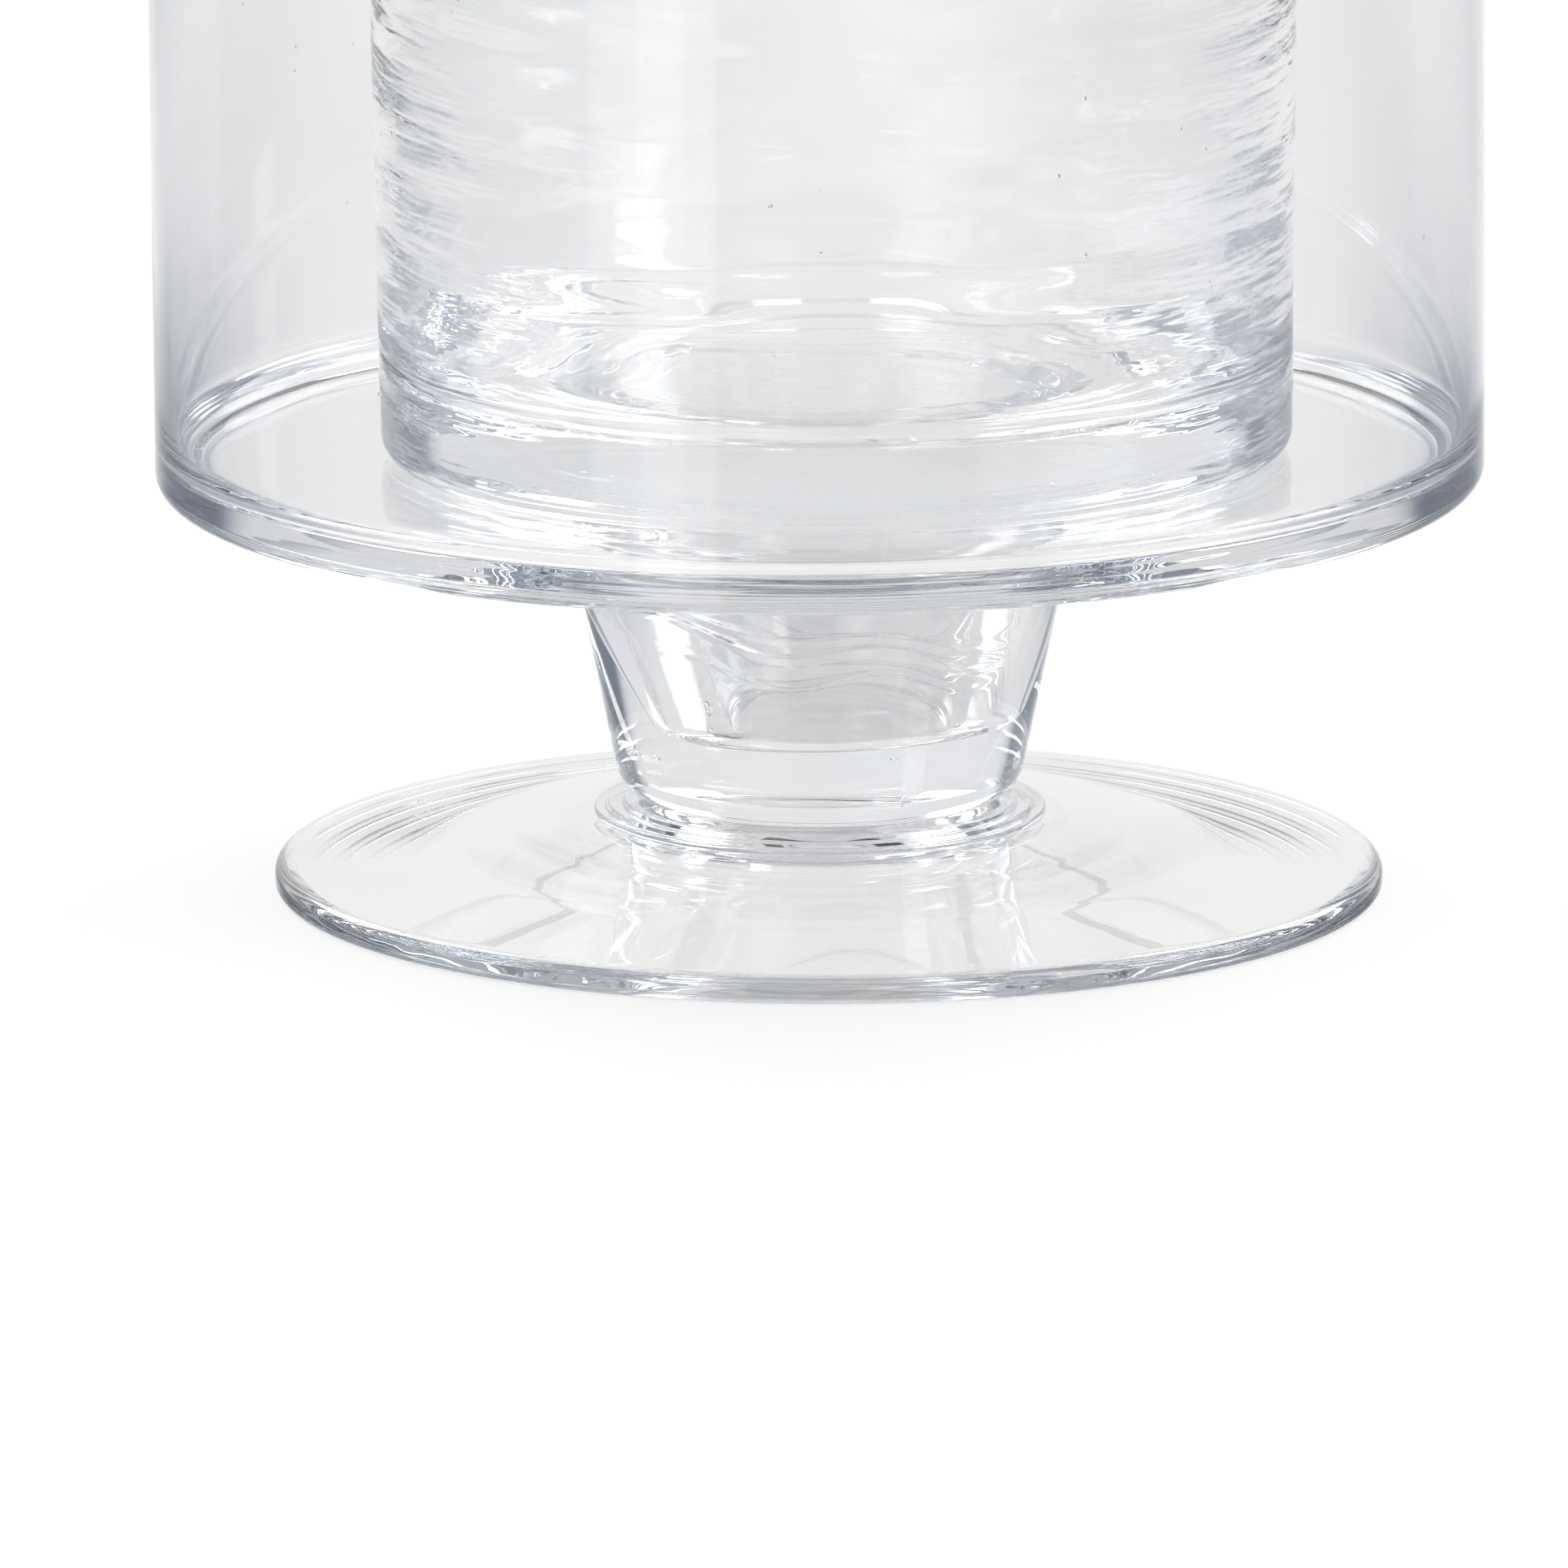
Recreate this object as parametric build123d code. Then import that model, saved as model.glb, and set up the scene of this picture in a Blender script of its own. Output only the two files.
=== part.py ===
from build123d import *
import os

# Hurricane candle lantern in clear hand-made glass: a wide outer cylinder fused onto a tapered
# hollow stem, a thin wafer and a round foot, with a loose thick-based inner cylinder standing on
# the floor of the outer one. Millimetres, +Z up. The origin is the centre of the footprint on
# the surface that the lantern stands on.

# Driving dimensions: the heights of the joints between the pieces, from the table upwards.
FOOT_TOP = 12.0
STEM_BOTTOM = 14.4
VESSEL_BOTTOM = 62.2
VESSEL_FLOOR = 67.4
OVERALL_HEIGHT = 356.0

# Foot: a round-edged disc that rises like a low cone towards the stem and rests on a flat ring.
FOOT_RADIUS = 83.5
FOOT_EDGE = 4.2
FOOT_EDGE_ROUND = 2.05
FOOT_SEAT_EDGE_ROUND = 1.4
FOOT_SEAT_RADIUS = 35.0
FOOT_SHOULDER_RADIUS = 58.0
FOOT_SHOULDER = 7.2
FOOT_RING_INNER = 79.3
FOOT_HOLLOW_RADIUS = 32.0
FOOT_HOLLOW = 6.2

# Wafer: the collar of glass that joins the stem to the foot, wide below and necked in above.
WAFER_RADIUS = 34.0
WAFER_NECK_RADIUS = 25.2
WAFER_EDGE_HEIGHT = 0.8
WAFER_EDGE_ROUND = 0.4

# Stem: a thick-bottomed tapered cup, closed at the top by the vessel above it.
STEM_BOTTOM_RADIUS = 29.8
STEM_BOTTOM_ROUND = 5.6
STEM_TOP_RADIUS = 39.0
STEM_FLARE = 2.6
STEM_FLARE_HEIGHT = 3.2
CAVITY_FLOOR = 25.2
CAVITY_FLOOR_RADIUS = 18.6
CAVITY_FLOOR_ROUND = 4.0
CAVITY_SHOULDER_HEIGHT = 43.0
CAVITY_SHOULDER_RADIUS = 23.4
CAVITY_SHOULDER_ROUND = 30.0
CAVITY_TOP_RADIUS = 31.0

# Outer cylinder: thin straight wall, flat floor, small round at the bottom corner.
VESSEL_RADIUS = 100.0
VESSEL_RIM_RADIUS = 101.0
VESSEL_WALL = 2.4
VESSEL_CORNER_ROUND = 3.05
VESSEL_FLOOR_ROUND = 5.4

# Inner cylinder: thicker wall, thick base with a deep round inside, standing a little off centre.
INNER_OFFSET = 2.6
INNER_HEIGHT = 222.0
INNER_BASE_RADIUS = 68.5
INNER_WAIST_HEIGHT = 70.0
INNER_WAIST_RADIUS = 69.5
INNER_RIM_RADIUS = 70.2
INNER_WALL = 3.4
INNER_BASE = 12.0
INNER_CORNER_ROUND = 3.6
INNER_FLOOR_ROUND = 10.0
PUNT_OUTER = 50.0
PUNT_INNER = 44.0
PUNT_HEIGHT = 0.8

# A fire-polished rim is fully round: a hair under half the wall keeps both arcs apart.
RIM_ROUND_SHARE = 0.49


def turned(corners):
    """A solid turned about Z from an outline of (radius, height, corner round) entries."""
    points = [(radius, height) for radius, height, _ in corners]
    rounds = [round_off for _, _, round_off in corners]
    with BuildPart() as part:
        with BuildSketch(Plane.XZ):
            with BuildLine():
                FilletPolyline(*points, radius=rounds, close=True)
            make_face()
        revolve(axis=Axis.Z)
    return part.part


def make_foot():
    return turned(
        [
            (0, FOOT_HOLLOW, 0),
            (FOOT_HOLLOW_RADIUS, FOOT_HOLLOW, 12),
            (FOOT_RING_INNER, 0, 3),
            (FOOT_RADIUS, 0, FOOT_SEAT_EDGE_ROUND),
            (FOOT_RADIUS, FOOT_EDGE, FOOT_EDGE_ROUND),
            (FOOT_SHOULDER_RADIUS, FOOT_SHOULDER, 60),
            (FOOT_SEAT_RADIUS, FOOT_TOP, 6),
            (0, FOOT_TOP, 0),
        ]
    )


def make_wafer():
    return turned(
        [
            (0, FOOT_TOP, 0),
            (WAFER_RADIUS, FOOT_TOP, 0),
            (WAFER_RADIUS, FOOT_TOP + WAFER_EDGE_HEIGHT, WAFER_EDGE_ROUND),
            (WAFER_NECK_RADIUS, STEM_BOTTOM, 0),
            (0, STEM_BOTTOM, 0),
        ]
    )


def make_stem():
    return turned(
        [
            (0, STEM_BOTTOM, 0),
            (STEM_BOTTOM_RADIUS, STEM_BOTTOM, STEM_BOTTOM_ROUND),
            (STEM_TOP_RADIUS, VESSEL_BOTTOM - STEM_FLARE_HEIGHT, 5),
            (STEM_TOP_RADIUS + STEM_FLARE, VESSEL_BOTTOM, 0),
            (CAVITY_TOP_RADIUS, VESSEL_BOTTOM, 0),
            (CAVITY_SHOULDER_RADIUS, CAVITY_SHOULDER_HEIGHT, CAVITY_SHOULDER_ROUND),
            (CAVITY_FLOOR_RADIUS, CAVITY_FLOOR, CAVITY_FLOOR_ROUND),
            (0, CAVITY_FLOOR, 0),
        ]
    )


def make_outer_cylinder():
    rim_round = RIM_ROUND_SHARE * VESSEL_WALL
    return turned(
        [
            (0, VESSEL_BOTTOM, 0),
            (VESSEL_RADIUS, VESSEL_BOTTOM, VESSEL_CORNER_ROUND),
            (VESSEL_RIM_RADIUS, OVERALL_HEIGHT, rim_round),
            (VESSEL_RIM_RADIUS - VESSEL_WALL, OVERALL_HEIGHT, rim_round),
            (VESSEL_RADIUS - VESSEL_WALL, VESSEL_FLOOR, VESSEL_FLOOR_ROUND),
            (0, VESSEL_FLOOR, 0),
        ]
    )


def make_inner_cylinder():
    waist = VESSEL_FLOOR + INNER_WAIST_HEIGHT
    rim = VESSEL_FLOOR + INNER_HEIGHT
    rim_round = RIM_ROUND_SHARE * INNER_WALL
    cylinder = turned(
        [
            (0, VESSEL_FLOOR + PUNT_HEIGHT, 0),
            (PUNT_INNER, VESSEL_FLOOR + PUNT_HEIGHT, 6),
            (PUNT_OUTER, VESSEL_FLOOR, 6),
            (INNER_BASE_RADIUS, VESSEL_FLOOR, INNER_CORNER_ROUND),
            (INNER_WAIST_RADIUS, waist, 400),
            (INNER_RIM_RADIUS, rim, rim_round),
            (INNER_RIM_RADIUS - INNER_WALL, rim, rim_round),
            (INNER_WAIST_RADIUS - INNER_WALL, waist, 400),
            (INNER_BASE_RADIUS - INNER_WALL, VESSEL_FLOOR + INNER_BASE, INNER_FLOOR_ROUND),
            (0, VESSEL_FLOOR + INNER_BASE, 0),
        ]
    )
    return Pos(INNER_OFFSET, 0, 0) * cylinder


def main():
    os.makedirs("parts", exist_ok=True)
    nodes = {
        "foot": make_foot(),
        "wafer": make_wafer(),
        "stem": make_stem(),
        "outer_cylinder": make_outer_cylinder(),
        "inner_cylinder": make_inner_cylinder(),
    }
    for name, solid in nodes.items():
        export_step(solid, f"parts/{name}.step")
        print(name, round(solid.volume), "mm3")


main()
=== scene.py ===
import math

import bmesh
import bpy
from bpy.props import FloatProperty, FloatVectorProperty, IntProperty, PointerProperty
from mathutils import Matrix, Vector, noise


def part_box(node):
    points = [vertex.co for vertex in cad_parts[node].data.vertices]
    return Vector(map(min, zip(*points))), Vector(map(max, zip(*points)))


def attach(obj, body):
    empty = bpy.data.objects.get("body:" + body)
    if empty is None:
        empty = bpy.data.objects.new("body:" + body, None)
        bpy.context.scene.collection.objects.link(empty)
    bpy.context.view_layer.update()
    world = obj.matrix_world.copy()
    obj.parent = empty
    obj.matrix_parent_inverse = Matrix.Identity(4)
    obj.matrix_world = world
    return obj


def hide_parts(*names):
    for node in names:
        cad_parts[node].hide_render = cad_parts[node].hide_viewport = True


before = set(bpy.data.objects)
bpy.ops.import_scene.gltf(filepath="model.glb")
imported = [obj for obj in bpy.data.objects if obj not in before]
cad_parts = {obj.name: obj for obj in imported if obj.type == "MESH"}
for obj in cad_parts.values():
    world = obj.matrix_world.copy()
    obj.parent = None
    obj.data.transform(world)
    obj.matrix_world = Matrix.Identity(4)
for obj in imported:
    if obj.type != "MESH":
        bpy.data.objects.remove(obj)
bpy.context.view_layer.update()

bl_info = {
    "name": "Hurricane Candle Lantern",
    "version": (1, 0, 0),
    "blender": (4, 5, 0),
    "location": "3D View > Sidebar > Lantern",
    "description": "A footed hurricane lantern of clear blown glass with a loose inner cylinder",
    "category": "Object",
}

MM = 0.001
TINY = 0.02 * MM
NEARLY_HALF = 0.49  # a fully round edge: just under half the glass keeps its two arcs apart
FOOT_LOW, FOOT_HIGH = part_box("foot")
WAFER_LOW, WAFER_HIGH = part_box("wafer")
STEM_LOW, STEM_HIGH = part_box("stem")
VESSEL_LOW, VESSEL_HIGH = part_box("outer_cylinder")
INNER_LOW, INNER_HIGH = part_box("inner_cylinder")
INNER_CENTRE = (INNER_LOW.x + INNER_HIGH.x) / 2

WAFER_THREADS = (  # inset from the wafer's edge, height over the foot and corner round
    (0.0 * MM, 0.7 * MM, 0.3 * MM),
    (1.8 * MM, 0.5 * MM, 0.3 * MM),
    (2.1 * MM, 1.3 * MM, 0.25 * MM),
    (4.2 * MM, 1.0 * MM, 0.3 * MM),
    (4.5 * MM, 1.8 * MM, 0.25 * MM),
    (6.4 * MM, 1.5 * MM, 0.3 * MM),
)
STEM_TAPER = 0.2  # about how much the stem's radius grows with its height
STEM_SEGMENTS = 840  # its thick wall magnifies every facet
INNER_SEGMENTS = 256
CAVITY_FOLDS = (  # height on the front, wave, fall to the right, depth of each fold
    (42.2 * MM, 1.6 * MM, 3.2 * MM, 0.20 * MM),
    (44.6 * MM, 0.9 * MM, 3.2 * MM, 0.14 * MM),
    (38.0 * MM, 1.6 * MM, 2.0 * MM, 0.06 * MM),
)
BASE_RINGS = (  # radius and depth of the clear rings in the inner cylinder's floor
    (54.5 * MM, 0.045 * MM),
    (51.4 * MM, -0.035 * MM),
    (47.7 * MM, 0.04 * MM),
    (40.4 * MM, 0.04 * MM),
    (35.5 * MM, -0.03 * MM),
    (27.0 * MM, 0.02 * MM),
    (18.0 * MM, 0.015 * MM),
)
STEM_BUBBLES = (  # centre and half sizes of the air bubbles caught in the stem
    ((-26.0 * MM, -10.4 * MM, 23.3 * MM), (2.0 * MM, 1.2 * MM, 0.9 * MM)),
    ((28.4 * MM, -8.0 * MM, 21.4 * MM), (1.5 * MM, 1.2 * MM, 1.4 * MM)),
    ((-14.9 * MM, 12.0 * MM, 23.6 * MM), (0.7 * MM, 0.6 * MM, 0.6 * MM)),
    ((-20.5 * MM, -9.0 * MM, 23.4 * MM), (0.8 * MM, 0.6 * MM, 0.5 * MM)),
    ((6.7 * MM, 5.0 * MM, 23.7 * MM), (0.4 * MM, 0.4 * MM, 0.3 * MM)),
    ((12.1 * MM, -26.5 * MM, 19.2 * MM), (0.25 * MM, 0.25 * MM, 1.2 * MM)),
)


# ---------------------------------------------------------------- sizes and looks


class LanternSizes(bpy.types.PropertyGroup):
    """Sizes that the outside boxes of the frame don't give."""

    foot_edge: FloatProperty(
        name="Foot edge", description="Thickness of the foot's round edge",
        default=4.2 * MM, unit="LENGTH")
    foot_hollow: FloatProperty(
        name="Foot hollow", description="How far the middle of the foot stands off the table",
        default=7.8 * MM, unit="LENGTH")
    neck_radius: FloatProperty(
        name="Neck radius", description="Radius of the joint between stem and wafer",
        default=25.2 * MM, unit="LENGTH")
    stem_radius: FloatProperty(
        name="Stem radius", description="Radius of the stem's sides carried down to its bottom",
        default=29.8 * MM, unit="LENGTH")
    stem_top_radius: FloatProperty(
        name="Stem top", description="Radius of the stem under its flare",
        default=39.0 * MM, unit="LENGTH")
    stem_flare: FloatProperty(
        name="Stem flare", description="How far the top of the stem flares under the vessel",
        default=2.6 * MM, unit="LENGTH")
    cavity_floor: FloatProperty(
        name="Cavity floor", description="Height of the floor of the air cavity in the stem",
        default=26.3 * MM, unit="LENGTH")
    cavity_top_radius: FloatProperty(
        name="Cavity top", description="Radius of the cavity under the vessel",
        default=31.0 * MM, unit="LENGTH")
    vessel_radius: FloatProperty(
        name="Vessel radius", description="Outside radius at the foot of the outer cylinder",
        default=100.0 * MM, unit="LENGTH")
    vessel_wall: FloatProperty(
        name="Vessel wall", description="Wall thickness of the outer cylinder",
        default=2.4 * MM, unit="LENGTH")
    vessel_floor: FloatProperty(
        name="Vessel floor", description="Floor thickness of the outer cylinder",
        default=5.2 * MM, unit="LENGTH")
    inner_radius: FloatProperty(
        name="Inner radius", description="Outside radius at the base of the inner cylinder",
        default=68.5 * MM, unit="LENGTH")
    inner_wall: FloatProperty(
        name="Inner wall", description="Wall thickness of the inner cylinder",
        default=3.4 * MM, unit="LENGTH")
    inner_base: FloatProperty(
        name="Inner base", description="Base thickness of the inner cylinder",
        default=12.0 * MM, unit="LENGTH")
    foot_shift: FloatProperty(
        name="Foot shift", description="How far the foot's edge is off the stem's axis",
        default=1.35 * MM, unit="LENGTH")
    lean: FloatProperty(
        name="Lean", description="How far the vessel leans to the left on its stem",
        default=math.radians(0.45), subtype="ANGLE")
    cavity_shift: FloatProperty(
        name="Cavity shift", description="How far the bottom of the stem's cavity is off centre",
        default=2.0 * MM, unit="LENGTH")
    segments: IntProperty(
        name="Segments", description="Faces around each turned piece", default=288, min=48)


class GlassLooks(bpy.types.PropertyGroup):
    """Colour and surface of the glass."""

    ior: FloatProperty(
        name="Index of refraction", description="Soda-lime glass is about 1.51", default=1.51)
    depth: FloatProperty(
        name="Colour depth", description="How much light a metre of the glass takes", default=1.2)
    deep_colour: FloatVectorProperty(
        name="Deep colour", description="What a long way through the glass still passes",
        subtype="COLOR", size=3, default=(0.0, 0.12, 0.3), min=0.0, max=1.0)
    dust_colour: FloatVectorProperty(
        name="Dust colour", description="Colour of the thin film of dust", subtype="COLOR",
        size=3, default=(0.86, 0.86, 0.85), min=0.0, max=1.0)
    # A grey film that darkens the stem's cavity walls and the wafer: partly the haze seen in the
    # cavity, partly painted shade.
    haze_and_shade_colour: FloatVectorProperty(
        name="Haze colour", description="Colour of the haze on the walls of the stem's cavity",
        subtype="COLOR", size=3, default=(0.66, 0.665, 0.68), min=0.0, max=1.0)
    marks: FloatProperty(
        name="Turning marks", description="Depth of the marks in the inner cylinder's wall",
        default=0.32 * MM, unit="LENGTH")
    waviness: FloatProperty(
        name="Waviness", description="Depth of the slow unevenness of the blown walls",
        default=0.12 * MM, unit="LENGTH")
    rings: FloatProperty(
        name="Floor rings", description="Depth of the rings in the floors of both cylinders",
        default=0.05 * MM, unit="LENGTH")


class StudioSettings(bpy.types.PropertyGroup):
    """Camera and light."""

    elevation: FloatProperty(
        name="Camera elevation", description="Angle of the camera above the horizon",
        default=math.radians(12.25), subtype="ANGLE")
    distance: FloatProperty(
        name="Camera distance", description="From the camera to the lantern's axis",
        default=6.0, unit="LENGTH")
    frame_width: FloatProperty(
        name="Picture width", description="Width of the picture at the lantern's axis",
        default=236.3 * MM, unit="LENGTH")
    aim_height: FloatProperty(
        name="Aim height", description="Height on the axis at the middle of the picture",
        default=15.6 * MM, unit="LENGTH")
    aim_side: FloatProperty(
        name="Aim side", description="How far left of the axis the camera points",
        default=5.4 * MM, unit="LENGTH")
    white: FloatProperty(
        name="White", description="Brightness of the pale sweep", default=0.99)
    shadow: FloatProperty(
        name="Shadow", description="How much of the lantern's shadow shows on the floor",
        default=0.3, min=0.0, max=1.0)
    table_level: FloatProperty(
        name="Table level", description="Brightness of the table seen through the glass",
        default=0.92)
    backdrop_level: FloatProperty(
        name="Backdrop level", description="Brightness of the backdrop seen in the glass",
        default=0.9)


# ---------------------------------------------------------------- outlines and turned meshes


def rounded(corners, step=math.radians(9)):
    """Outline points from (radius, height, corner round) entries, each round laid out as an arc."""
    places = [Vector((radius, height)) for radius, height, _ in corners]
    outline = [places[0]]
    for before, corner, after, (_, _, round_off) in zip(
            places, places[1:], places[2:], corners[1:]):
        if round_off <= 0:
            outline.append(corner)
            continue
        back, ahead = (before - corner).normalized(), (after - corner).normalized()
        half = back.angle(ahead) / 2
        centre = corner + (back + ahead).normalized() * (round_off / math.sin(half))
        start = corner + back * (round_off / math.tan(half))
        sweep = math.pi - 2 * half
        turn = 1 if back.x * ahead.y - back.y * ahead.x < 0 else -1
        count = max(2, math.ceil(sweep / step))
        arm = start - centre
        for k in range(count + 1):
            angle = turn * sweep * k / count
            outline.append(centre + Vector((
                arm.x * math.cos(angle) - arm.y * math.sin(angle),
                arm.x * math.sin(angle) + arm.y * math.cos(angle))))
    outline.append(places[-1])
    return outline


def divided(outline, spacing):
    """The outline with its long runs cut up. spacing(middle, run) gives each run's longest step."""
    points = [outline[0]]
    for start, end in zip(outline, outline[1:]):
        run = end - start
        count = max(1, math.ceil(run.length / spacing((start + end) / 2, run)))
        points += [start.lerp(end, k / count) for k in range(1, count + 1)]
    return points


def steps(upright, level):
    """A spacing of upright on the outline's steep runs and of level on its flat ones."""
    return lambda middle, run: level if abs(run.x) > abs(run.y) else upright


def outward(points):
    """The normal of the outline at each point, on the side away from the glass."""
    normals = []
    last = len(points) - 1
    for k in range(len(points)):
        along = points[min(k + 1, last)] - points[max(k - 1, 0)]
        normals.append(Vector((along.y, -along.x)).normalized())
    return normals


def turned(name, points, segments, swell=None, warp=None, patch=None, centre_x=0.0, low=-1.0):
    """A closed mesh turned about Z from an outline that starts and ends on the axis.

    swell(radius, height, angle) moves a point along the outline's normal, warp(place, point)
    moves it anywhere, and patch(radius, height) gives each face the number of its material."""
    mesh = bpy.data.meshes.new(name)
    bm = bmesh.new()
    normals = outward(points)
    rings = []
    for point, normal in zip(points, normals):
        count = 1 if point.x < TINY else segments
        ring = []
        for k in range(count):
            angle = 2 * math.pi * k / segments
            out = swell(point.x, point.y, angle) if swell else 0.0
            radius = max(0.0, point.x + normal.x * out) if count > 1 else 0.0
            place = Vector((
                radius * math.cos(angle), radius * math.sin(angle), point.y + normal.y * out))
            if warp:
                place = warp(place, point)
            place.x += centre_x
            place.z = max(place.z, low)
            ring.append(bm.verts.new(place))
        rings.append(ring)
    for lower, upper, start, end in zip(rings, rings[1:], points, points[1:]):
        middle = (start + end) / 2
        number = int(patch(middle.x, middle.y)) if patch else 0
        for k in range(segments):
            after = (k + 1) % segments
            if len(lower) == 1:
                corners = (lower[0], upper[after], upper[k])
            elif len(upper) == 1:
                corners = (lower[k], lower[after], upper[0])
            else:
                corners = (lower[k], lower[after], upper[after], upper[k])
            face = bm.faces.new(corners)
            face.smooth = True
            face.material_index = number
    bmesh.ops.recalc_face_normals(bm, faces=bm.faces)
    bm.to_mesh(mesh)
    bm.free()
    mesh.set_sharp_from_angle(angle=math.radians(28))
    piece = bpy.data.objects.new(name, mesh)
    bpy.context.scene.collection.objects.link(piece)
    return piece


def add_bubbles(piece, bubbles):
    """Adds closed air bubbles, given as (centre, half sizes), whose faces look into the air."""
    bm = bmesh.new()
    bm.from_mesh(piece.data)
    for centre, half in bubbles:
        place = Matrix.Translation(centre) @ Matrix.Diagonal((*half, 1.0))
        made = bmesh.ops.create_icosphere(bm, subdivisions=3, radius=1.0, matrix=place)
        faces = {face for vert in made["verts"] for face in vert.link_faces}
        bmesh.ops.reverse_faces(bm, faces=list(faces))
        for face in faces:
            face.smooth = True
    bm.to_mesh(piece.data)
    bm.free()


def lean_over(piece, sizes):
    """Tilts everything above the stem's bottom, growing to the full lean at the stem's top."""
    low, high = STEM_LOW.z, STEM_HIGH.z
    pivot = Vector((0, 0, high))
    full = Matrix.Rotation(-sizes.lean, 3, "Y")
    for vertex in piece.data.vertices:
        share = min(1.0, max(0.0, (vertex.co.z - low) / (high - low)))
        eased = share * share * (3 - 2 * share)
        turn = full if share == 1.0 else Matrix.Rotation(-sizes.lean * eased, 3, "Y")
        vertex.co = pivot + turn @ (vertex.co - pivot)


def around(angle, height, turns, rise, seed):
    """Smooth noise from -1 to 1 on a cylinder, with turns waves round it and rise per metre."""
    return noise.noise(Vector((
        math.cos(angle) * turns, math.sin(angle) * turns, height * rise + seed)))


def ringed(radius, angle, spacing, seed):
    """Smooth noise from -1 to 1 in uneven rings about the axis, a little out of round."""
    drift = 0.35 * noise.noise(Vector((math.cos(angle), math.sin(angle), seed)))
    fade = 0.75 + 0.25 * math.cos(2 * angle + seed)
    return fade * noise.noise(Vector((radius / spacing + drift, seed, 0.5)))


def finish_piece(piece, body, node, materials):
    """Puts the materials on a piece, rides it on its body and lets it stand for its CAD node."""
    for material in materials:
        piece.data.materials.append(material)
    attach(piece, body)
    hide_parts(node)


# ---------------------------------------------------------------- shader helpers


def new_material(name):
    material = bpy.data.materials.new(name)
    material.use_nodes = True
    material.node_tree.nodes.clear()
    return material, material.node_tree


def node(tree, kind, **settings):
    made = tree.nodes.new(kind)
    for key, value in settings.items():
        setattr(made, key, value)
    return made


def put(tree, value, socket):
    """Sets a socket to a number or links it to another socket."""
    if isinstance(value, (int, float)):
        socket.default_value = value
    else:
        tree.links.new(value, socket)


def maths(tree, operation, *values, clamp=False):
    """A Math node fed by sockets or numbers. Returns its output."""
    made = node(tree, "ShaderNodeMath", operation=operation, use_clamp=clamp)
    for socket, value in zip(made.inputs, values):
        put(tree, value, socket)
    return made.outputs[0]


def step_between(tree, value, low, high):
    """0 below low, 1 above high and smooth between."""
    made = node(tree, "ShaderNodeMapRange", interpolation_type="SMOOTHSTEP")
    tree.links.new(value, made.inputs["Value"])
    made.inputs["From Min"].default_value = low
    made.inputs["From Max"].default_value = high
    return made.outputs["Result"]


def new_group(name, inputs, outputs):
    """A shader node group. inputs are (name, default) and outputs are (name, kind)."""
    group = bpy.data.node_groups.new(name, "ShaderNodeTree")
    for label, value in inputs:
        socket = group.interface.new_socket(
            label, in_out="INPUT", socket_type="NodeSocketFloat")
        socket.default_value = value
    for label, kind in outputs:
        group.interface.new_socket(label, in_out="OUTPUT", socket_type=kind)
    return group, node(group, "NodeGroupInput"), node(group, "NodeGroupOutput")


def stretched_noise(tree, scale, stretch, detail):
    """Noise in the piece's own space, squeezed along Z by stretch, with a linkable scale."""
    place = node(tree, "ShaderNodeTexCoord")
    squeeze = node(tree, "ShaderNodeCombineXYZ")
    squeeze.inputs["X"].default_value = 1.0
    squeeze.inputs["Y"].default_value = 1.0
    put(tree, stretch, squeeze.inputs["Z"])
    squeezed = node(tree, "ShaderNodeVectorMath", operation="MULTIPLY")
    tree.links.new(place.outputs["Object"], squeezed.inputs[0])
    tree.links.new(squeeze.outputs[0], squeezed.inputs[1])
    texture = node(tree, "ShaderNodeTexNoise")
    texture.inputs["Detail"].default_value = detail
    tree.links.new(squeezed.outputs[0], texture.inputs["Vector"])
    put(tree, scale, texture.inputs["Scale"])
    return texture.outputs["Fac"]


def cord_group():
    """Fine cords and ream: drawn-out lines of unlike glass that lie along the turning.

    Level share is how much of them the level faces keep. They fade out between the distances
    Calm to and Calm from on either side of the piece's middle."""
    group, given, made = new_group(
        "glass_cords",
        [("Spacing", 120.0), ("Stretch", 14.0), ("Slow", 18.0), ("Fine share", 0.5),
         ("Level share", 1.0), ("Calm from", -1.0), ("Calm to", -0.5)],
        [("Height", "NodeSocketFloat")])
    fine = stretched_noise(group, given.outputs["Spacing"], given.outputs["Stretch"], 2.0)
    slow = stretched_noise(group, given.outputs["Slow"], 2.0, 1.0)
    share = maths(group, "MULTIPLY", fine, given.outputs["Fine share"])
    height = maths(group, "ADD", share, slow)
    facing = node(group, "ShaderNodeNewGeometry")
    apart = node(group, "ShaderNodeSeparateXYZ")
    group.links.new(facing.outputs["Normal"], apart.inputs[0])
    level = step_between(group, maths(group, "ABSOLUTE", apart.outputs["Z"]), 0.25, 0.8)
    less = maths(group, "SUBTRACT", 1.0, given.outputs["Level share"])
    kept = maths(group, "SUBTRACT", 1.0, maths(group, "MULTIPLY", level, less))
    place = node(group, "ShaderNodeTexCoord")
    aside = node(group, "ShaderNodeSeparateXYZ")
    group.links.new(place.outputs["Object"], aside.inputs[0])
    calm = node(group, "ShaderNodeMapRange", interpolation_type="SMOOTHSTEP")
    put(group, maths(group, "ABSOLUTE", aside.outputs["X"]), calm.inputs["Value"])
    put(group, given.outputs["Calm from"], calm.inputs["From Min"])
    put(group, given.outputs["Calm to"], calm.inputs["From Max"])
    strength = maths(group, "MULTIPLY", kept, calm.outputs["Result"])
    group.links.new(maths(group, "MULTIPLY", height, strength), made.inputs["Height"])
    return group


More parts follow.
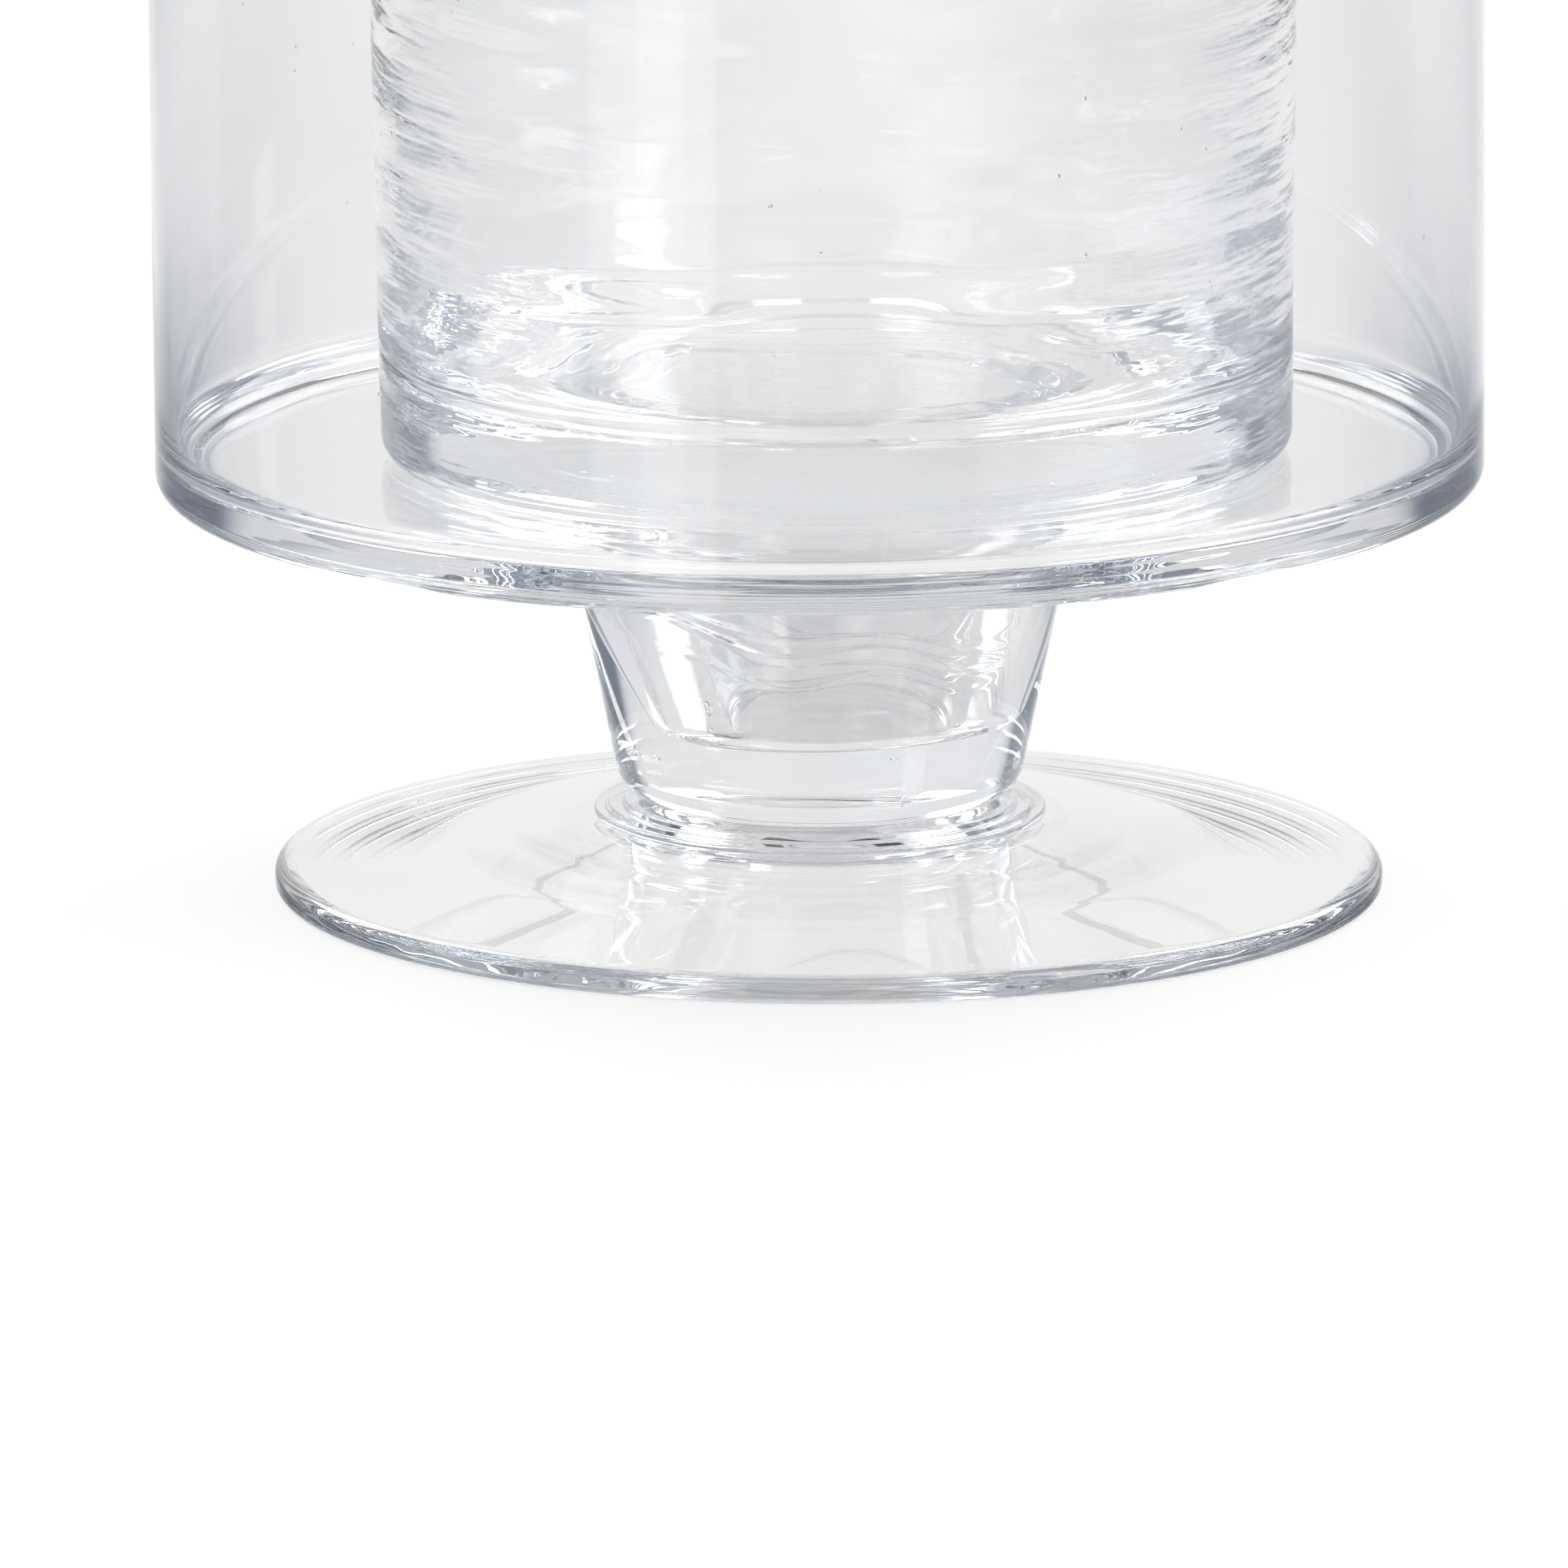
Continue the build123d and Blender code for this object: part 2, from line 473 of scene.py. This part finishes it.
def dust_and_shade_group():
    """A thin film of dust and wiping marks, thicker on faces that look up. Even is the least
    of it everywhere; a high Even under a grey colour makes the film painted shade over the whole
    piece."""
    group, given, made = new_group(
        "dust_and_shade_film",
        [("Scale", 40.0), ("Amount", 0.5), ("Settled", 0.5), ("Even", 0.0)],
        [("Mask", "NodeSocketFloat"), ("Specks", "NodeSocketFloat")])
    patches = stretched_noise(group, given.outputs["Scale"], 1.0, 6.0)
    film = step_between(group, patches, 0.45, 0.8)
    facing = node(group, "ShaderNodeNewGeometry")
    apart = node(group, "ShaderNodeSeparateXYZ")
    group.links.new(facing.outputs["Normal"], apart.inputs[0])
    upward = maths(group, "MULTIPLY", maths(group, "MAXIMUM", apart.outputs["Z"], 0.0),
                   given.outputs["Settled"])
    uneven = maths(group, "ADD", film, upward)
    whole = maths(group, "ADD", uneven, given.outputs["Even"])
    mask = maths(group, "MULTIPLY", whole, given.outputs["Amount"], clamp=True)
    group.links.new(mask, made.inputs["Mask"])
    place = node(group, "ShaderNodeTexCoord")
    cells = node(group, "ShaderNodeTexVoronoi")
    cells.inputs["Scale"].default_value = 260.0
    group.links.new(place.outputs["Object"], cells.inputs["Vector"])
    dots = step_between(group, cells.outputs["Distance"], 0.09, 0.05)
    chosen = node(group, "ShaderNodeSeparateColor")
    group.links.new(cells.outputs["Color"], chosen.inputs[0])
    few = step_between(group, chosen.outputs["Red"], 0.93, 0.95)
    specks = maths(group, "MULTIPLY", dots, few)
    group.links.new(specks, made.inputs["Specks"])
    return group


def placed_group(tree, name, build, **values):
    """Places the named group in a material, built the first time, with its own values."""
    placed = node(tree, "ShaderNodeGroup")
    placed.node_tree = bpy.data.node_groups.get(name) or build()
    for label, value in values.items():
        placed.inputs[label.replace("_", " ")].default_value = value
    return placed


def glass_material(name, looks, cords, dust, bump, deeper=1.0, film_colour=None):
    """Clear glass with its own cords and film. It takes a little light for each metre inside,
    deeper times as much as plain glass."""
    material, tree = new_material(name)
    cord = placed_group(tree, "glass_cords", cord_group, **cords)
    film = placed_group(tree, "dust_and_shade_film", dust_and_shade_group, **dust)
    height = maths(tree, "MULTIPLY_ADD", film.outputs["Specks"], 0.4, cord.outputs["Height"])
    relief = node(tree, "ShaderNodeBump")
    relief.inputs["Strength"].default_value = 1.0
    relief.inputs["Distance"].default_value = bump
    tree.links.new(height, relief.inputs["Height"])
    # The film's mask: dust on most pieces, and grey painted shade on the wafer and the stem's
    # cavity.
    dust_and_shade = maths(tree, "MAXIMUM", film.outputs["Mask"], film.outputs["Specks"])
    colour = node(tree, "ShaderNodeMix", data_type="RGBA")
    colour.inputs["A"].default_value = (1, 1, 1, 1)
    colour.inputs["B"].default_value = (*(film_colour or looks.dust_colour), 1)
    tree.links.new(dust_and_shade, colour.inputs["Factor"])
    clear = node(tree, "ShaderNodeBsdfPrincipled")
    clear.inputs["IOR"].default_value = looks.ior
    clear.inputs["Transmission Weight"].default_value = 1.0
    tree.links.new(colour.outputs["Result"], clear.inputs["Base Color"])
    tree.links.new(maths(tree, "MULTIPLY", dust_and_shade, 0.05), clear.inputs["Roughness"])
    tree.links.new(relief.outputs[0], clear.inputs["Normal"])
    deep = node(tree, "ShaderNodeBsdfGlass")
    deep.inputs["Color"].default_value = (*looks.deep_colour, 1)
    deep.inputs["Roughness"].default_value = 0.0
    deep.inputs["IOR"].default_value = looks.ior
    tree.links.new(relief.outputs[0], deep.inputs["Normal"])
    paths = node(tree, "ShaderNodeLightPath")
    facing = node(tree, "ShaderNodeNewGeometry")
    passed = maths(tree, "EXPONENT", maths(
        tree, "MULTIPLY", paths.outputs["Ray Length"], -looks.depth * deeper))
    taken = maths(tree, "MULTIPLY", maths(tree, "SUBTRACT", 1.0, passed),
                  facing.outputs["Backfacing"])
    blend = node(tree, "ShaderNodeMixShader")
    tree.links.new(taken, blend.inputs[0])
    tree.links.new(clear.outputs[0], blend.inputs[1])
    tree.links.new(deep.outputs[0], blend.inputs[2])
    output = node(tree, "ShaderNodeOutputMaterial")
    tree.links.new(blend.outputs[0], output.inputs["Surface"])
    return material


def fused_material():
    """The inside of a hot joint: the glass runs on, so nothing is seen there."""
    made = bpy.data.materials.get("fused_joint")
    if made:
        return made
    material, tree = new_material("fused_joint")
    shader = node(tree, "ShaderNodeBsdfTransparent")
    output = node(tree, "ShaderNodeOutputMaterial")
    tree.links.new(shader.outputs[0], output.inputs["Surface"])
    return material


# ---------------------------------------------------------------- operators


class LANTERN_OT_stage(bpy.types.Operator):
    """Makes the pale floor, the studio around it and the camera"""

    bl_idname = "lantern.stage"
    bl_label = "Stage"

    def execute(self, context):
        studio = context.scene.lantern_studio
        make_floor(studio)
        make_world(studio)
        make_camera(studio)
        return {"FINISHED"}


class LANTERN_OT_foot(bpy.types.Operator):
    """Makes the round foot"""

    bl_idname = "lantern.foot"
    bl_label = "Foot"

    def execute(self, context):
        sizes, looks = context.scene.lantern_sizes, context.scene.lantern_glass
        radius, top, low = FOOT_HIGH.x, FOOT_HIGH.z, FOOT_LOW.z
        seat = WAFER_HIGH.x
        hollow_radius, resting_radius, shoulder_radius = (
            radius * 0.4, radius * 0.95, radius * 0.69)
        shoulder = low + 7.2 * MM
        outline = rounded([
            (0, low + sizes.foot_hollow, 0),
            (hollow_radius, low + sizes.foot_hollow, 12 * MM),
            (resting_radius, low, 3 * MM),
            (radius, low, 1.4 * MM),
            (radius, low + sizes.foot_edge, sizes.foot_edge * NEARLY_HALF),
            (shoulder_radius, shoulder, 60 * MM),
            (seat + 1 * MM, top, 6 * MM),
            (seat, top, 0),
            (0, top, 0),
        ])

        def swell(radius, height, angle):
            if height < low + 0.5 * MM or radius < seat + 1 * MM:
                return 0.0
            fade = min(1.0, (radius - seat) / (8 * MM))
            waves = 0.05 * ringed(radius, angle, 7 * MM, 2.0)
            drape = 0.03 * MM * math.exp(-((radius - seat - 12 * MM) / (1.2 * MM)) ** 2)
            slow = looks.waviness * fade * (waves + 0.2 * around(angle, radius, 1.2, 12.0, 4.0))
            return slow - drape

        def warp(place, point):
            share = min(1.0, max(0.0, (point.x - seat) / (radius - seat)))
            place.x += sizes.foot_shift * share
            return place

        piece = turned(
            "foot_disc", divided(outline, steps(1 * MM, 1 * MM)), sizes.segments, swell=swell,
            warp=warp, patch=lambda r, z: abs(z - top) < TINY and r < seat, low=low)
        glass = glass_material(
            "foot_glass", looks, {"Spacing": 45.0, "Stretch": 1.0, "Slow": 20.0},
            {"Scale": 30.0, "Amount": 0.5, "Settled": 0.4}, 0.03 * MM, deeper=4.5)
        finish_piece(piece, "footed_vessel", "foot",
                     [glass, fused_material()])
        return {"FINISHED"}


class LANTERN_OT_wafer(bpy.types.Operator):
    """Makes the collar of glass between foot and stem, with its threads"""

    bl_idname = "lantern.wafer"
    bl_label = "Wafer"

    def execute(self, context):
        sizes, looks = context.scene.lantern_sizes, context.scene.lantern_glass
        radius, low, top = WAFER_HIGH.x, WAFER_LOW.z, WAFER_HIGH.z
        threads = [
            (radius - inset, low + height, round_off)
            for inset, height, round_off in WAFER_THREADS]
        outline = rounded(
            [(0, low, 0), (radius, low, 0), *threads, (sizes.neck_radius, top, 0), (0, top, 0)],
            math.radians(15))

        def swell(radius, height, angle):
            if height < low + TINY or height > top - TINY:
                return 0.0
            return 0.15 * MM * around(angle, height, 2.0, 300.0, 12.0)

        piece = turned(
            "wafer_collar", divided(outline, steps(0.5 * MM, 1.2 * MM)), sizes.segments, swell=swell,
            patch=lambda r, z: abs(z - top) < TINY or abs(z - low) < TINY)
        # Its grey film, even all over, is painted shade that darkens the collar.
        glass = glass_material(
            "wafer_glass", looks, {"Spacing": 90.0, "Stretch": 6.0, "Slow": 60.0},
            {"Scale": 60.0, "Amount": 0.8, "Settled": 0.0, "Even": 0.7}, 0.03 * MM, deeper=4.0,
            film_colour=looks.haze_and_shade_colour)
        finish_piece(piece, "footed_vessel", "wafer",
                     [glass, fused_material()])
        return {"FINISHED"}


class LANTERN_OT_stem(bpy.types.Operator):
    """Makes the hollow tapered stem, with the bubbles caught in its solid bottom"""

    bl_idname = "lantern.stem"
    bl_label = "Stem"

    def execute(self, context):
        sizes, looks = context.scene.lantern_sizes, context.scene.lantern_glass
        low, top = STEM_LOW.z, STEM_HIGH.z
        floor, floor_radius = sizes.cavity_floor, 17.4 * MM
        shoulder, shoulder_radius = 43.0 * MM, 23.4 * MM
        flare_height = 3.2 * MM
        outline = rounded([
            (0, low, 0),
            (sizes.stem_radius, low, 5.6 * MM),
            (sizes.stem_top_radius, top - flare_height, 5 * MM),
            (sizes.stem_top_radius + sizes.stem_flare, top, 0),
            (sizes.cavity_top_radius, top, 0),
            (shoulder_radius, shoulder, 30 * MM),
            (floor_radius, floor, 4 * MM),
            (0, floor, 0),
        ])

        def in_cavity(radius, height):
            side = sizes.stem_radius + (height - low) * STEM_TAPER
            return height > floor - TINY and radius < side - 1.2 * MM

        def swell(radius, height, angle):
            if height < low + TINY or height > top - TINY:
                return 0.0
            slow = 0.03 * MM * around(angle, height, 1.0, 25.0, 21.0)
            if not in_cavity(radius, height):
                return slow
            fold = 0.0
            front = math.remainder(angle + math.pi / 2, 2 * math.pi)
            for middle, wave, slope, deep in CAVITY_FOLDS:
                crest = middle + wave * math.sin(5 * front) - slope * front
                fold += deep * math.exp(-((height - crest) / (0.45 * MM)) ** 2)
            reach = max(0.0, math.cos(min(1.2 * abs(front), math.pi / 2)))
            rings = 0.03 * MM * ringed(radius, angle, 3 * MM, 9.0) if height < floor + 2 * MM else 0
            return slow + fold * reach + rings

        def warp(place, point):
            if in_cavity(point.x, point.y):
                share = (top - point.y) / (top - floor)
                place.z += 0.03 * place.x * share
                place.x += sizes.cavity_shift * share
            return place

        def spacing(middle, run):
            return 0.45 * MM if in_cavity(middle.x, middle.y) else 1.3 * MM

        def patch(radius, height):
            if abs(height - top) < TINY or abs(height - low) < TINY:
                return 1
            return 2 if in_cavity(radius, height) else 0

        piece = turned(
            "stem_cup", divided(outline, spacing), STEM_SEGMENTS, swell=swell, warp=warp,
            patch=patch)
        add_bubbles(piece, STEM_BUBBLES)
        lean_over(piece, sizes)
        glass = glass_material(
            "stem_glass", looks, {"Spacing": 60.0, "Stretch": 3.0, "Slow": 30.0},
            {"Scale": 60.0, "Amount": 0.3, "Settled": 0.3}, 0.008 * MM, deeper=1.8)
        # The cavity's grey film darkens it: partly the haze seen on its walls, partly painted shade.
        hazy_and_shaded = glass_material(
            "stem_cavity_glass", looks, {"Spacing": 60.0, "Stretch": 3.0, "Slow": 30.0},
            {"Scale": 90.0, "Amount": 0.8, "Settled": 0.0, "Even": 0.75}, 0.008 * MM,
            deeper=1.8, film_colour=looks.haze_and_shade_colour)
        finish_piece(piece, "footed_vessel", "stem",
                     [glass, fused_material(), hazy_and_shaded])
        return {"FINISHED"}


class LANTERN_OT_outer_cylinder(bpy.types.Operator):
    """Makes the wide outer cylinder"""

    bl_idname = "lantern.outer_cylinder"
    bl_label = "Outer cylinder"

    def execute(self, context):
        sizes, looks = context.scene.lantern_sizes, context.scene.lantern_glass
        low, top, rim = VESSEL_LOW.z, VESSEL_HIGH.z, VESSEL_HIGH.x
        wall, floor = sizes.vessel_wall, VESSEL_LOW.z + sizes.vessel_floor
        joint_out = sizes.stem_top_radius + sizes.stem_flare
        outline = rounded([
            (0, low, 0),
            (sizes.cavity_top_radius, low, 0),
            (joint_out, low, 0),
            (sizes.vessel_radius, low, 3.05 * MM),
            (rim, top, wall * NEARLY_HALF),
            (rim - wall, top, wall * NEARLY_HALF),
            (sizes.vessel_radius - wall, floor, 5.4 * MM),
            (0, floor, 0),
        ])

        def swell(radius, height, angle):
            if abs(height - low) < TINY:
                fade = min(1.0, max(0.0, (radius - joint_out) / (6 * MM)))
                return 0.6 * fade * looks.rings * ringed(radius, angle, 5 * MM, 14.0)
            if height < floor + 3 * MM and radius < sizes.vessel_radius * 0.94:
                return 0.6 * looks.rings * ringed(radius, angle, 4 * MM, 17.0)
            fade = min(1.0, max(0.0, height - floor) / (30 * MM))
            return looks.waviness * fade * around(angle, height, 1.6, 9.0, 3.0)

        piece = turned(
            "outer_cylinder_glass", divided(outline, steps(4 * MM, 1.1 * MM)), sizes.segments,
            swell=swell,
            patch=lambda r, z: abs(z - low) < TINY and sizes.cavity_top_radius < r < joint_out)
        lean_over(piece, sizes)
        glass = glass_material(
            "outer_glass", looks,
            {"Spacing": 16.0, "Stretch": 2.5, "Slow": 9.0, "Level_share": 0.1},
            {"Scale": 14.0, "Amount": 0.35, "Settled": 0.4}, 0.06 * MM, deeper=1.3)
        finish_piece(piece, "footed_vessel", "outer_cylinder",
                     [glass, fused_material()])
        return {"FINISHED"}


class LANTERN_OT_inner_cylinder(bpy.types.Operator):
    """Makes the loose inner cylinder"""

    bl_idname = "lantern.inner_cylinder"
    bl_label = "Inner cylinder"

    def execute(self, context):
        sizes, looks = context.scene.lantern_sizes, context.scene.lantern_glass
        low, top = INNER_LOW.z + 0.1 * MM, INNER_HIGH.z
        rim = (INNER_HIGH.x - INNER_LOW.x) / 2
        wall, floor = sizes.inner_wall, INNER_LOW.z + sizes.inner_base
        waist, waist_radius = INNER_LOW.z + 70 * MM, sizes.inner_radius + 1 * MM
        punt = low + 0.8 * MM
        outline = rounded([
            (0, punt, 0),
            (44 * MM, punt, 6 * MM),
            (50 * MM, low, 6 * MM),
            (sizes.inner_radius, low, 3.6 * MM),
            (waist_radius, waist, 400 * MM),
            (rim, top, wall * NEARLY_HALF),
            (rim - wall, top, wall * NEARLY_HALF),
            (waist_radius - wall, waist, 400 * MM),
            (sizes.inner_radius - wall, floor, 10 * MM),
            (0, floor, 0),
        ])

        def swell(radius, height, angle):
            if height < low + 1.5 * MM:
                return 0.0 if radius > 49 * MM else looks.rings * ringed(
                    radius, angle, 3 * MM, 25.0)
            if radius < sizes.inner_radius * 0.86:
                rings = 0.25 * looks.rings * ringed(radius, angle, 3.5 * MM, 29.0)
                for place, deep in BASE_RINGS:
                    off = radius - place - 0.4 * MM * math.cos(angle + 40 * place)
                    rings += deep * math.exp(-(off / (0.8 * MM)) ** 2)
                return rings
            side = 7.0 if radius > sizes.inner_radius - wall / 2 else 31.0
            aside = min(1.0, max(0.0, (abs(math.cos(angle)) - 0.1) / 0.4))
            least = 0.04 if math.sin(angle) < 0 else 0.3
            calm = least + (1 - least) * aside * aside * (3 - 2 * aside)
            lift = min(1.0, max(0.0, (height - floor) / (22 * MM)))
            slow = looks.waviness * around(angle, height, 1.3, 14.0, side)
            climb = height + 1.5 * MM * math.sin(angle + side)
            patches = 0.7 + 0.8 * around(angle, height, 1.4, 30.0, side + 11)
            middling = 0.5 * around(angle, climb, 1.6, 60.0, side + 70)
            quick = patches * around(angle, climb, 1.3, 180.0, side + 50)
            return slow + looks.marks * calm * (0.25 + 0.75 * lift) * (middling + quick)

        piece = turned(
            "inner_cylinder_glass", divided(outline, steps(1.8 * MM, 0.5 * MM)),
            INNER_SEGMENTS, swell=swell, centre_x=INNER_CENTRE)
        lean_over(piece, sizes)
        glass = glass_material(
            "inner_glass", looks,
            {"Spacing": 36.0, "Stretch": 9.0, "Slow": 12.0, "Level_share": 0.0,
             "Calm_from": 0.034, "Calm_to": 0.060},
            {"Scale": 24.0, "Amount": 0.35, "Settled": 0.4}, 0.55 * MM)
        finish_piece(piece, "inner_cylinder", "inner_cylinder", [glass])
        return {"FINISHED"}


class LANTERN_PT_panel(bpy.types.Panel):
    """Buttons that make the lantern's pieces and its stage"""

    bl_label = "Hurricane lantern"
    bl_idname = "LANTERN_PT_panel"
    bl_space_type = "VIEW_3D"
    bl_region_type = "UI"
    bl_category = "Lantern"

    def draw(self, context):
        column = self.layout.column(align=True)
        for operator in OPERATORS:
            column.operator(operator.bl_idname)


# ---------------------------------------------------------------- stage


def make_floor(studio):
    mesh = bpy.data.meshes.new("studio_floor")
    bm = bmesh.new()
    bmesh.ops.create_circle(bm, cap_ends=True, segments=96, radius=30.0)
    bm.to_mesh(mesh)
    bm.free()
    floor = bpy.data.objects.new("studio_floor", mesh)
    bpy.context.scene.collection.objects.link(floor)
    material, tree = new_material("pale_floor")
    white = (studio.white, studio.white, studio.white, 1)
    paper = node(tree, "ShaderNodeBsdfDiffuse")
    paper.inputs["Color"].default_value = white
    glow = node(tree, "ShaderNodeEmission")
    glow.inputs["Color"].default_value = white
    seen = node(tree, "ShaderNodeMixShader")
    seen.inputs[0].default_value = studio.shadow
    tree.links.new(glow.outputs[0], seen.inputs[1])
    tree.links.new(paper.outputs[0], seen.inputs[2])
    place = node(tree, "ShaderNodeTexCoord")
    apart = node(tree, "ShaderNodeSeparateXYZ")
    tree.links.new(place.outputs["Object"], apart.inputs[0])
    side = maths(tree, "ABSOLUTE", apart.outputs[0])
    ahead = maths(tree, "ABSOLUTE", apart.outputs[1])
    # Painted shade: dark bands in the floor's colour at both sides of the lantern, seen only by rays
    # through the glass.
    painted_shade = maths(tree, "MULTIPLY", step_between(tree, side, *SHADE_STARTS),
                  maths(tree, "MULTIPLY", step_between(tree, side, *SHADE_ENDS),
                        step_between(tree, ahead, *SHADE_REACH)))
    shaded_table = node(tree, "ShaderNodeMix", data_type="RGBA")
    shaded_table.inputs["A"].default_value = (*[studio.table_level] * 3, 1)
    shaded_table.inputs["B"].default_value = (*PAINTED_SHADE_COLOUR, 1)
    tree.links.new(painted_shade, shaded_table.inputs["Factor"])
    through = node(tree, "ShaderNodeEmission")
    tree.links.new(shaded_table.outputs["Result"], through.inputs["Color"])
    paths = node(tree, "ShaderNodeLightPath")
    blend = node(tree, "ShaderNodeMixShader")
    tree.links.new(paths.outputs["Is Camera Ray"], blend.inputs[0])
    tree.links.new(through.outputs[0], blend.inputs[1])
    tree.links.new(seen.outputs[0], blend.inputs[2])
    output = node(tree, "ShaderNodeOutputMaterial")
    tree.links.new(blend.outputs[0], output.inputs["Surface"])
    mesh.materials.append(material)
    floor.location.z = -0.1 * MM
    floor.visible_glossy = False


SOFTBOXES = (  # middle azimuth, half width, lowest and highest elevation, light it adds
    (-28.5, 11, -45, 55, 1.3),
    (-27, 4, -45, 55, 0.9),
    (55, 7, -2, 50, 6.0),
    (-112, 14, -50, 60, -0.16),
    (112, 14, -50, 60, -0.16),
    (-140, 14, 22, 55, 6.0),
    (140, 14, 22, 55, 6.0),
)
DARK_ROOM = (0.32, 0.345, 0.39)  # the unlit sides of the studio
PAINTED_SHADE_COLOUR = (0.40, 0.425, 0.47)  # painted shade: dark bands painted on the table at both sides of the lantern, seen only in the glass
SHADE_STARTS = (0.09, 0.14)  # metres to the side where the painted shade isn't there yet and where it is whole
SHADE_ENDS = (1.1, 0.8)  # the same at its outer ends
SHADE_REACH = (0.5, 0.3)  # the same to the front and to the back
FRINGE = 0.3  # degrees between the red, green and blue edges of a light


def window(tree, value, low, high, soft):
    """1 between low and high, with soft edges."""
    rises = step_between(tree, value, low - soft, low + soft)
    falls = step_between(tree, value, high + soft, high - soft)
    return maths(tree, "MULTIPLY", rises, falls)


def make_world(studio):
    scene = bpy.context.scene
    scene.world = bpy.data.worlds.new("studio")
    scene.world.use_nodes = True
    tree = scene.world.node_tree
    tree.nodes.clear()
    place = node(tree, "ShaderNodeTexCoord")
    apart = node(tree, "ShaderNodeSeparateXYZ")
    tree.links.new(place.outputs["Generated"], apart.inputs[0])
    x, y, z = apart.outputs
    back = maths(tree, "MULTIPLY", y, -1.0)
    azimuth = maths(tree, "MULTIPLY", maths(tree, "ARCTAN2", x, back), 180 / math.pi)
    elevation = maths(tree, "MULTIPLY", maths(tree, "ARCSINE", z), 180 / math.pi)
    away = maths(tree, "ABSOLUTE", azimuth)
    # The backdrop stands behind the lantern and is wider above the table. Angles in degrees.
    raised = step_between(tree, elevation, -8, -3)
    backdrop = maths(tree, "MAXIMUM", step_between(tree, away, 152, 174),
                     maths(tree, "MULTIPLY", raised, step_between(tree, away, 122, 132)))
    # A pale ceiling, and in front a floor of middling brightness.
    overhead = step_between(tree, elevation, 35, 60)
    below = maths(tree, "MULTIPLY", step_between(tree, elevation, 2, -2),
                  maths(tree, "MULTIPLY", step_between(tree, away, 115, 85), 0.6))
    bright = maths(tree, "MAXIMUM", maths(tree, "MAXIMUM", backdrop, overhead), below)
    mixed = node(tree, "ShaderNodeCombineColor")
    for channel, dark in enumerate(DARK_ROOM):
        level = maths(tree, "MULTIPLY_ADD", bright, studio.backdrop_level - dark, dark)
        turned_by = maths(tree, "ADD", azimuth, FRINGE * (channel - 1))
        raised_by = maths(tree, "ADD", elevation, FRINGE * (channel - 1))
        for middle, half, low, high, power in SOFTBOXES:
            across = window(tree, turned_by, middle - half, middle + half, 1.6)
            upright = window(tree, raised_by, low, high, 2.0)
            lit = maths(tree, "MULTIPLY", across, upright)
            level = maths(tree, "MULTIPLY_ADD", lit, power, level)
        tree.links.new(level, mixed.inputs[channel])
    paths = node(tree, "ShaderNodeLightPath")
    plain = maths(tree, "MAXIMUM", paths.outputs["Is Camera Ray"],
                  paths.outputs["Is Diffuse Ray"])
    studio_light = node(tree, "ShaderNodeBackground")
    tree.links.new(mixed.outputs[0], studio_light.inputs["Color"])
    even_light = node(tree, "ShaderNodeBackground")
    even_light.inputs["Color"].default_value = (1, 1, 1, 1)
    even_light.inputs["Strength"].default_value = studio.white
    blend = node(tree, "ShaderNodeMixShader")
    tree.links.new(plain, blend.inputs[0])
    tree.links.new(studio_light.outputs[0], blend.inputs[1])
    tree.links.new(even_light.outputs[0], blend.inputs[2])
    output = node(tree, "ShaderNodeOutputWorld")
    tree.links.new(blend.outputs[0], output.inputs["Surface"])
    scene.view_settings.view_transform = "Standard"
    # A ray caught in thick glass needs many turns before it finds its way out.
    cycles = scene.cycles
    cycles.max_bounces = 128
    cycles.transmission_bounces = 128
    cycles.glossy_bounces = 64
    cycles.transparent_max_bounces = 64


def make_camera(studio):
    scene = bpy.context.scene
    data = bpy.data.cameras.new("camera")
    data.sensor_width = 36.0
    data.lens = data.sensor_width * studio.distance / studio.frame_width
    camera = bpy.data.objects.new("camera", data)
    scene.collection.objects.link(camera)
    camera.rotation_euler = (math.pi / 2 - studio.elevation, 0, 0)
    camera.location = (
        -studio.aim_side,
        -studio.distance * math.cos(studio.elevation),
        studio.aim_height + studio.distance * math.sin(studio.elevation))
    scene.camera = camera


# ---------------------------------------------------------------- registration and main


OPERATORS = (
    LANTERN_OT_stage,
    LANTERN_OT_foot,
    LANTERN_OT_wafer,
    LANTERN_OT_stem,
    LANTERN_OT_outer_cylinder,
    LANTERN_OT_inner_cylinder,
)
GROUPS = (LanternSizes, GlassLooks, StudioSettings)


def register():
    for item in (*GROUPS, *OPERATORS, LANTERN_PT_panel):
        bpy.utils.register_class(item)
    bpy.types.Scene.lantern_sizes = PointerProperty(type=LanternSizes)
    bpy.types.Scene.lantern_glass = PointerProperty(type=GlassLooks)
    bpy.types.Scene.lantern_studio = PointerProperty(type=StudioSettings)


def unregister():
    del bpy.types.Scene.lantern_studio
    del bpy.types.Scene.lantern_glass
    del bpy.types.Scene.lantern_sizes
    for item in reversed((*GROUPS, *OPERATORS, LANTERN_PT_panel)):
        bpy.utils.unregister_class(item)


def main():
    register()
    bpy.ops.lantern.stage()
    bpy.ops.lantern.foot()
    bpy.ops.lantern.wafer()
    bpy.ops.lantern.stem()
    bpy.ops.lantern.outer_cylinder()
    bpy.ops.lantern.inner_cylinder()


if __name__ == "__main__":
    main()
